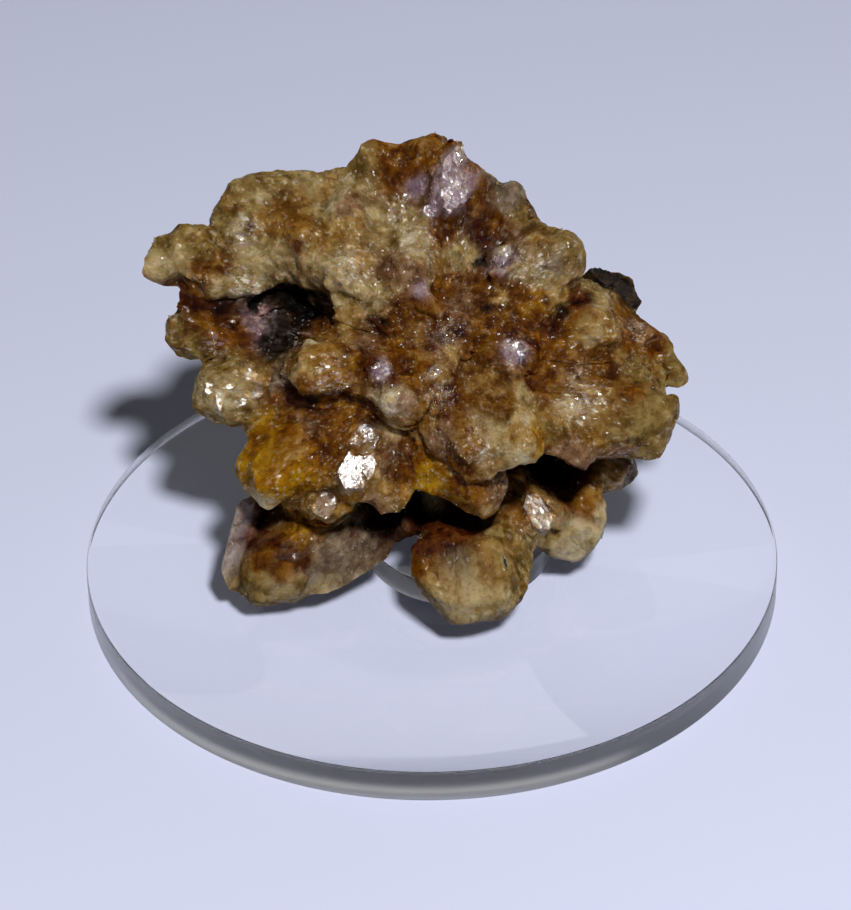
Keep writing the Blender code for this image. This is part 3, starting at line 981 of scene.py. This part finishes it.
from_heart = np.linalg.norm(points - np.array(HEART), axis=1) / MM
outer = np.clip((from_heart - REST_BROWN) / REST_FADE, 0, 1)[:, None]
tint = np.array(PALETTE["brown"]) * (1 - outer) + np.array(PALETTE["olive"]) * outer
warped = points.copy()
noise.seed_set(WARP_SEED)
for size, strength in WARPS:
    warped += np.array([noise.noise_vector(p) for p in warped / size]) * strength
weight = np.full(len(points), REST_WEIGHT)
total = tint * weight[:, None]
for finish, spots in SPOTS.items():
    for across, down, reach in spots:
        small = reach <= SMALL_SPOT
        away = reaches_from(points if small else warped, seen_at(skin_tree, (across, down)), reach)
        share = (1 + away**2) ** -3 * (SMALL_STRENGTH if small else 1)
        total += np.array(PALETTE[finish]) * share[:, None]
        weight += share
tint = total / weight[:, None]
for size, share in MOTTLE:
    tint = tint ** (1 + share * noise_over(points, size)[:, None])
colours = np.ones((len(points), 4), np.float32)
colours[:, :3] = tint
body.data.attributes.new("tint", "FLOAT_COLOR", "POINT").data.foreach_set("color", colours.ravel())
sparkle = gathered(points, skin_tree, SPARKLES) - CALM_DULLING * gathered(points, skin_tree, CALM)
# Depth and edges carry painted shade in crevices and a painted glow at thin edges into the colour.
add_values(body.data, "depth", depth)
add_values(body.data, "edge", edge)
add_values(body.data, "sparkle", sparkle)
print("finishes placed:", sum(len(spots) for spots in SPOTS.values()))

# %% [markdown]
# Quartz breaks the light on many tiny flat faces. A shared shader group draws them: cells, stretched along
# the way the crystals grew, and each cell tips the surface's normal its own way. It also gives every cell one
# random number, so that a few faces can be glossier than the rest.

# %% Small faces
CELL_START = 10 * MM


def small_faces_group(name):
    group = bpy.data.node_groups.new(name, "ShaderNodeTree")
    for title, kind, default in (
        ("Scale", "Float", 1000),
        ("Tilt", "Float", 0.5),
        ("Stretch", "Float", 0.4),
        ("Heart", "Vector", tuple(HEART)),
        ("Base normal", "Vector", (0, 0, 1)),
    ):
        socket = group.interface.new_socket(title, in_out="INPUT", socket_type="NodeSocket" + kind)
        socket.default_value = default
    group.interface.new_socket("Normal", in_out="OUTPUT", socket_type="NodeSocketVector")
    group.interface.new_socket("Chance", in_out="OUTPUT", socket_type="NodeSocketFloat")
    given = add_node(group, "NodeGroupInput").outputs
    place = add_node(group, "ShaderNodeTexCoord").outputs["Object"]
    outward = vector_maths(group, "SUBTRACT", place, given["Heart"])
    away = vector_maths(group, "LENGTH", outward)
    shortened = maths(group, "ADD", maths(group, "MULTIPLY", away, given["Stretch"]), CELL_START)
    stretched = vector_maths(group, "SCALE", vector_maths(group, "NORMALIZE", outward), shortened)
    cells = add_node(group, "ShaderNodeTexVoronoi", {"Vector": stretched, "Scale": given["Scale"]})
    tips = vector_maths(group, "SUBTRACT", cells.outputs["Color"], (0.5, 0.5, 0.5))
    tipped = vector_maths(group, "SCALE", tips, given["Tilt"])
    normal = vector_maths(group, "NORMALIZE", vector_maths(group, "ADD", given["Base normal"], tipped))
    lot = add_node(group, "ShaderNodeTexWhiteNoise", {"Vector": cells.outputs["Position"]})
    add_node(group, "NodeGroupOutput", {"Normal": normal, "Chance": lot.outputs["Value"]})
    return group


small_faces = small_faces_group("small faces")
print("shader group:", small_faces.name)

# %% [markdown]
# The quartz itself scatters light under its skin, red furthest and blue least, which gives the warm glow at
# thin edges. Its colour is then raised to a power: above one darkens it and makes it redder, and below one
# turns it to pale frost. The power holds painted shade in crevices and hollows, a paler painted glow at thin
# and bulging edges, and random patches. Pale specks, partly frost and partly painted glitter, lilac flecks,
# which are painted glints, and glossy glints then sit on single small faces, most of them where the piece
# glitters.

# %% Frosted citrine
QUARTZ_IOR = 1.544
SCATTER_RADIUS = (1.2, 0.5, 0.14)
# Pale colour of frost, painted glitter, sheen and edge glow; lilac colour of painted glints.
FROST_AND_HIGHLIGHT_COLOUR = (0.62, 0.54, 0.42, 1)
PAINTED_GLINT_COLOUR = (0.34, 0.25, 0.3, 1)
COARSE_FACES = 1500
FINE_FACES = 4200
LOWEST_POWER = 0.8
GRAIN_STRENGTH = 0.4
GRAIN_DEPTH = 0.1 * MM


def citrine_look(name, under_skin):
    """Frosted quartz. The attributes on its points say how its colour and gloss vary."""
    values = {"IOR": QUARTZ_IOR, "Subsurface Radius": SCATTER_RADIUS, "Subsurface Scale": MM}
    material, tree, shader = new_material(name, {"Subsurface Weight": under_skin, **values})
    place = add_node(tree, "ShaderNodeTexCoord").outputs["Object"]

    def noise_texture(scale, detail, roughness):
        pattern = {"Vector": place, "Scale": scale, "Detail": detail, "Roughness": roughness}
        return add_node(tree, "ShaderNodeTexNoise", pattern).outputs["Fac"]

    def held(name, output="Fac"):
        return add_node(tree, "ShaderNodeAttribute", attribute_name=name).outputs[output]

    def scaled(source, low, high, to_low, to_high):
        return ranged(tree, source, low, high, to_low, to_high)

    def product(*given):
        return maths(tree, "MULTIPLY", *given)

    def small_face(scale, tilt, base_normal):
        given = {"Scale": scale, "Tilt": tilt, "Base normal": base_normal}
        return add_node(tree, "ShaderNodeGroup", given, node_tree=small_faces).outputs

    def laid_over(below, colour, share):
        given = {0: share, 6: below, 7: colour}
        return add_node(tree, "ShaderNodeMix", given, data_type="RGBA").outputs[2]

    # What the mesh says about each point, three noises and two sizes of small face.
    depth, gloss, edge, sparkle = held("depth"), held("gloss"), held("edge"), held("sparkle")
    tint = held("tint", "Color")
    clouds = noise_texture(300, 4, 0.6)
    patches = noise_texture(900, 4, 0.65)
    grains = noise_texture(2600, 3, 0.7)
    straight = add_node(tree, "ShaderNodeNewGeometry").outputs["Normal"]
    coarse = small_face(COARSE_FACES, scaled(gloss, 0, 1, 0.32, 0.08), straight)
    fine = small_face(FINE_FACES, scaled(gloss, 0, 1, 0.4, 0.18), coarse["Normal"])

    # Power on the colour: painted shade in crevices, paler painted glow at thin edges, and random patches.
    tone_and_shade_power = maths(
        tree,
        "ADD",
        scaled(clouds, 0.3, 0.7, 0.92, 1.12),
        scaled(depth, 0.4, 0.88, 0.0, 0.6),
        scaled(edge, -1, 1.5, 0.2, -0.2),
        scaled(patches, 0.35, 0.65, 0.17, -0.17),
        scaled(grains, 0.3, 0.7, 0.15, -0.15),
        scaled(coarse["Chance"], 0, 1, 0.14, -0.14),
    )
    shade_gamma_inputs = {"Color": tint, "Gamma": maths(tree, "MAXIMUM", tone_and_shade_power, LOWEST_POWER)}
    toned_and_shaded = add_node(tree, "ShaderNodeGamma", shade_gamma_inputs).outputs["Color"]

    # Pale specks on single faces, partly frost and partly painted glitter, a painted sheen and a painted glow
    # at thin edges, more on pale quartz, and lilac flecks, which are painted glints.
    green = add_node(tree, "ShaderNodeSeparateColor", {"Color": tint}).outputs["Green"]
    frosted = product(
        scaled(fine["Chance"], 0.80, 0.83, 0, 1),
        scaled(patches, 0.44, 0.6, 0, 0.85),
        scaled(depth, 0.3, 0.7, 1, 0.1),
        scaled(sparkle, -0.5, 1, 0, 1.3),
    )
    painted_sheen = product(scaled(patches, 0.45, 0.65, 0, 0.3), scaled(sparkle, 0, 1, 0, 1))
    rim = maths(tree, "ADD", painted_sheen, scaled(edge, 1.1, 1.9, 0, 0.4))
    frost_and_painted_light = product(maths(tree, "ADD", frosted, rim), scaled(green, 0.0, 0.11, 0.02, 1))
    painted_glint_fleck = product(scaled(fine["Chance"], 0.10, 0.07, 0, 0.5), scaled(sparkle, 0, 1, 0, 1))
    colour = laid_over(laid_over(toned_and_shaded, FROST_AND_HIGHLIGHT_COLOUR, frost_and_painted_light), PAINTED_GLINT_COLOUR, painted_glint_fleck)

    # Glossy faces mirror more and are smoother, and a few fine ones glint.
    dull = product(
        scaled(coarse["Chance"], 0.7, 0.9, 0.7, 0.4),
        scaled(fine["Chance"], 0.8, 0.9, 1, 0.3),
        scaled(gloss, 0, 1, 1, 0.4),
    )
    glint = product(
        scaled(fine["Chance"], 0.88, 0.9, 0, 0.9),
        scaled(sparkle, -0.5, 1, 0, 1),
        scaled(green, 0.003, 0.03, 0.05, 1),
    )
    sheen = maths(tree, "MAXIMUM", scaled(gloss, 0, 1, 0.06, 0.9), glint)
    raised = {"Strength": GRAIN_STRENGTH, "Distance": GRAIN_DEPTH, "Height": grains, "Normal": fine["Normal"]}
    relief = add_node(tree, "ShaderNodeBump", raised).outputs["Normal"]
    feed(tree, shader, {"Base Color": colour, "Roughness": dull})
    feed(tree, shader, {"Specular IOR Level": sheen, "Normal": relief})
    return material


citrine = citrine_look("frosted citrine", under_skin=1)
sugar_citrine = citrine_look("sugar citrine", under_skin=0)
body.data.materials.clear()
body.data.materials.append(citrine)
print("nodes in the citrine:", len(citrine.node_tree.nodes))

# %% [markdown]
# Thousands of small crystals stand on the skin. They repeat three shapes, each about one unit wide: two sharp
# double points, and a stubby crystal with a six-sided body. They are only patterns, and go at the end.

# %% Small crystals
SIDES = 6


def sharp_grain(name, tip, slant):
    """Two six-sided points base to base, the upper one off-centre."""
    bm = bmesh.new()
    turns = np.arange(SIDES) * math.tau / SIDES
    ring = [bm.verts.new((0.5 * math.cos(turn), 0.5 * math.sin(turn), 0)) for turn in turns]
    high = bm.verts.new((slant, slant / 2, tip))
    low = bm.verts.new((0, 0, -tip))
    for first, second in zip(ring, ring[1:] + ring[:1]):
        bm.faces.new((first, second, high))
        bm.faces.new((second, first, low))
    return shaped(name, bm)


def pointed_crystal(name, waist, rise, sink, tip, slant):
    """A six-sided crystal one unit wide at most, with an off-centre point, half of it below its seat."""
    bm = bmesh.new()
    bmesh.ops.create_cone(bm, cap_ends=True, segments=SIDES, radius1=waist, radius2=0.5, depth=rise + sink)
    bmesh.ops.translate(bm, vec=(0, 0, (rise - sink) / 2), verts=bm.verts)
    ends = sorted(bm.faces, key=lambda face: face.calc_center_median().z)
    low = bmesh.ops.poke(bm, faces=[ends[0]])["verts"][0]
    low.co.z -= waist
    high = bmesh.ops.poke(bm, faces=[ends[-1]])["verts"][0]
    high.co += Vector((slant, slant / 2, tip))
    return shaped(name, bm)


sugar_crystal = sharp_grain("sugar_crystal", tip=0.8, slant=0.14)
needle_crystal = sharp_grain("needle_crystal", tip=2.2, slant=0.3)
clear_crystal = pointed_crystal("clear_crystal", waist=0.46, rise=0.9, sink=0.8, tip=0.6, slant=0.1)
print("crystals:", len(sugar_crystal.data.polygons), "and", len(clear_crystal.data.polygons), "faces")

# %% [markdown]
# One Geometry Nodes tree plants all of them. It strews points over the skin, denser where the skin says so,
# sinks each a little, and stands a crystal on it that leans between the skin's normal and the way outward
# from the heart, with some scatter. The crystals become one plain mesh with its material at the end.

# %% A tree that crowds a surface with crystals
CROWD_INPUTS = {
    "Geometry": "Geometry",
    "Crystal": "Object",
    "Density": "Float",
    "Seed": "Int",
    "Smallest": "Float",
    "Largest": "Float",
    "Lean": "Float",
    "Sink": "Float",
    "Scatter": "Float",
    "Heart": "Vector",
    "Material": "Material",
}
LEAST_SHAPE = (0.75, 0.75, 0.8)
MOST_SHAPE = (1.2, 1.2, 1.5)


def crowd_tree(name):
    tree = bpy.data.node_groups.new(name, "GeometryNodeTree")
    for title, kind in CROWD_INPUTS.items():
        tree.interface.new_socket(title, in_out="INPUT", socket_type="NodeSocket" + kind)
    tree.interface.new_socket("Geometry", in_out="OUTPUT", socket_type="NodeSocketGeometry")
    given = add_node(tree, "NodeGroupInput").outputs

    def random_vector(low, high):
        values = {"Min": low, "Max": high, "Seed": given["Seed"]}
        return add_node(tree, "FunctionNodeRandomValue", values, data_type="FLOAT_VECTOR").outputs[0]

    wanted = add_node(tree, "GeometryNodeInputNamedAttribute", {"Name": "crowd"}).outputs["Attribute"]
    density = maths(tree, "MULTIPLY", wanted, given["Density"])
    strewn = {"Mesh": given["Geometry"], "Density": density, "Seed": given["Seed"]}
    seats = add_node(tree, "GeometryNodeDistributePointsOnFaces", strewn).outputs

    place = add_node(tree, "GeometryNodeInputPosition").outputs[0]
    outward = vector_maths(tree, "NORMALIZE", vector_maths(tree, "SUBTRACT", place, given["Heart"]))
    leaning = vector_maths(tree, "SCALE", outward, given["Lean"])
    strayed = vector_maths(tree, "SCALE", random_vector((-1, -1, -1), (1, 1, 1)), given["Scatter"])
    axis = vector_maths(tree, "ADD", vector_maths(tree, "ADD", seats["Normal"], leaning), strayed)
    spin = add_node(tree, "FunctionNodeEulerToRotation", {0: random_vector((0, 0, 0), (0, 0, math.tau))})
    upright = {"Rotation": spin.outputs[0], "Vector": axis}
    stand = add_node(tree, "FunctionNodeAlignRotationToVector", upright, axis="Z").outputs[0]

    limits = {2: given["Smallest"], 3: given["Largest"], "Seed": given["Seed"]}
    size = add_node(tree, "FunctionNodeRandomValue", limits, data_type="FLOAT").outputs[1]
    scale = vector_maths(tree, "SCALE", random_vector(LEAST_SHAPE, MOST_SHAPE), size)
    deep = vector_maths(tree, "SCALE", seats["Normal"], maths(tree, "MULTIPLY", size, given["Sink"]))
    into = {"Geometry": seats["Points"], "Offset": vector_maths(tree, "SUBTRACT", (0, 0, 0), deep)}
    sunk = add_node(tree, "GeometryNodeSetPosition", into).outputs[0]

    pattern = add_node(tree, "GeometryNodeObjectInfo", {"Object": given["Crystal"]}).outputs["Geometry"]
    standing = {"Points": sunk, "Instance": pattern, "Rotation": stand, "Scale": scale}
    stood = add_node(tree, "GeometryNodeInstanceOnPoints", standing).outputs[0]
    real = add_node(tree, "GeometryNodeRealizeInstances", {0: stood}).outputs[0]
    dressed = {"Geometry": real, "Material": given["Material"]}
    finish = add_node(tree, "GeometryNodeSetMaterial", dressed).outputs[0]
    add_node(tree, "NodeGroupOutput", {0: finish})
    return tree


crowd = crowd_tree("crowd of crystals")
print("crowd tree:", len(crowd.nodes), "nodes")

# %% [markdown]
# The fine sugar comes first. It glitters on the frosted ends, lies in patches and stays out of the crevices.
# A planted piece starts as a copy of the body, whose colours its crystals take over, and sugar is painted
# paler than what it grows on, partly frost and partly painted glitter.

# %% Sugar
SUGAR_GLOSS = 0.6
# Sugar and needles are painted paler towards this colour, partly frost and partly painted glitter.
SUGAR_FROST_AND_GLITTER = (0.64, 0.51, 0.33)
SUGAR_PER_MM2 = 3.6
PATCH_SIZE = 2.5 * MM
PATCH_GAIN = 0.8
MOST_IN_PATCHES = 0.35
GLITTER_GAIN = 0.6
BARE_BELOW = -0.1


def set_inputs(modifier, **values):
    """Sets a Geometry Nodes modifier's inputs by their names, through the sockets' identifiers."""
    for item in modifier.node_group.interface.items_tree:
        if item.in_out == "INPUT" and item.name.lower() in values:
            modifier[item.identifier] = values[item.name.lower()]


def grown(name, crowding, frost_and_painted_light=0.0, **settings):
    """A piece of many crystals that stand on the body, as many in each place as the crowding says."""
    soil = placed(name, body.data.copy())
    add_values(soil.data, "crowd", crowding)
    add_values(soil.data, "gloss", np.full(len(crowding), SUGAR_GLOSS))
    grower = soil.modifiers.new("crowd", "NODES")
    grower.node_group = crowd
    set_inputs(grower, heart=HEART, **settings)
    soil.data = settled(soil)
    if frost_and_painted_light:
        held = soil.data.attributes["tint"].data
        paler = read_values(held, "color", 4)
        paler[:, :3] += (np.array(SUGAR_FROST_AND_GLITTER) - paler[:, :3]) * frost_and_painted_light
        held.foreach_set("color", paler.ravel())
    soil.data.calc_loop_triangles()
    print(name, len(soil.data.loop_triangles), "triangles")
    return soil


def out_of_crevices(most, slope):
    """A share that falls from one to none with a point's depth."""
    return np.clip(most - slope * depth, 0, 1)


patchy = noise_over(points, PATCH_SIZE)
sugared = np.clip(PATCH_GAIN * patchy, 0, MOST_IN_PATCHES) + GLITTER_GAIN * sparkle * (patchy > BARE_BELOW)
sugar = grown(
    "sugar",
    np.clip(sugared, 0, 1) * out_of_crevices(1.6, 2.2),
    frost_and_painted_light=0.28,
    crystal=sugar_crystal,
    material=sugar_citrine,
    density=SUGAR_PER_MM2 / MM**2,
    seed=21,
    smallest=0.1 * MM,
    largest=0.42 * MM,
    lean=0.5,
    sink=0.25,
    scatter=1.0,
)

# %% [markdown]
# Slender splinters of quartz lie among the sugar where the piece glitters most. They are the same double
# point, drawn out long, and they lie every which way.

# %% Needles
NEEDLES_PER_MM2 = 1.5
STRAY_NEEDLES = 0.03

# The needles are painted much paler than the skin under them, partly frost and partly painted highlight
# streaks.
needles = grown(
    "needles",
    np.clip(STRAY_NEEDLES + np.maximum(sparkle, 0) ** 2, 0, 1) * out_of_crevices(1.2, 2.4),
    frost_and_painted_light=0.8,
    crystal=needle_crystal,
    material=sugar_citrine,
    density=NEEDLES_PER_MM2 / MM**2,
    seed=8,
    smallest=0.07 * MM,
    largest=0.16 * MM,
    lean=0.2,
    sink=0.3,
    scatter=2.5,
)

# %% [markdown]
# A few crystals stayed clear. They are plain glass with quartz's index and a breath of yellow that deepens
# with thickness, and they crowd the places where the real piece has clear quartz.

# %% Clear points
CLEAR_PLACES = (
    # pixel, reach in pixels
    ((262, 378), 14), ((322, 507), 10), ((538, 512), 13), ((262, 322), 12), ((455, 178), 10), ((432, 210), 7),
)
CLEAR_PER_MM2 = 1.6
CLEAR_COLOUR = (1, 0.97, 0.9, 1)
CLEAR_ROUGHNESS = 0.04
INNER_COLOUR = (1, 0.9, 0.72, 1)
INNER_DENSITY = 120


def clear_quartz(name):
    """Clear quartz, which takes blue out of the light on its way through."""
    values = {"Base Color": CLEAR_COLOUR, "Roughness": CLEAR_ROUGHNESS, "IOR": QUARTZ_IOR}
    material, tree, shader = new_material(name, {"Transmission Weight": 1, **values})
    let_lamp_through(tree, shader)
    inner = {"Color": INNER_COLOUR, "Density": INNER_DENSITY}
    volume = add_node(tree, "ShaderNodeVolumeAbsorption", inner).outputs["Volume"]
    feed(tree, tree.nodes["Material Output"], {"Volume": volume})
    return material


clear_points = grown(
    "clear_points",
    gathered(points, skin_tree, CLEAR_PLACES),
    crystal=clear_crystal,
    material=clear_quartz("clear quartz"),
    density=CLEAR_PER_MM2 / MM**2,
    seed=5,
    smallest=0.4 * MM,
    largest=1.0 * MM,
    lean=0.6,
    sink=0.7,
    scatter=0.5,
)
for pattern in (sugar_crystal, needle_crystal, clear_crystal):
    bpy.data.objects.remove(pattern)

# %% [markdown]
# The four pieces of the cluster ride on the same body and stand for the same solid.

# %% Hand over the cluster
pieces = (body, sugar, needles, clear_points)
for piece in pieces:
    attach(piece, "root")
    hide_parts("citrine_cluster")
print("the cluster's pieces:", ", ".join(piece.name for piece in pieces))
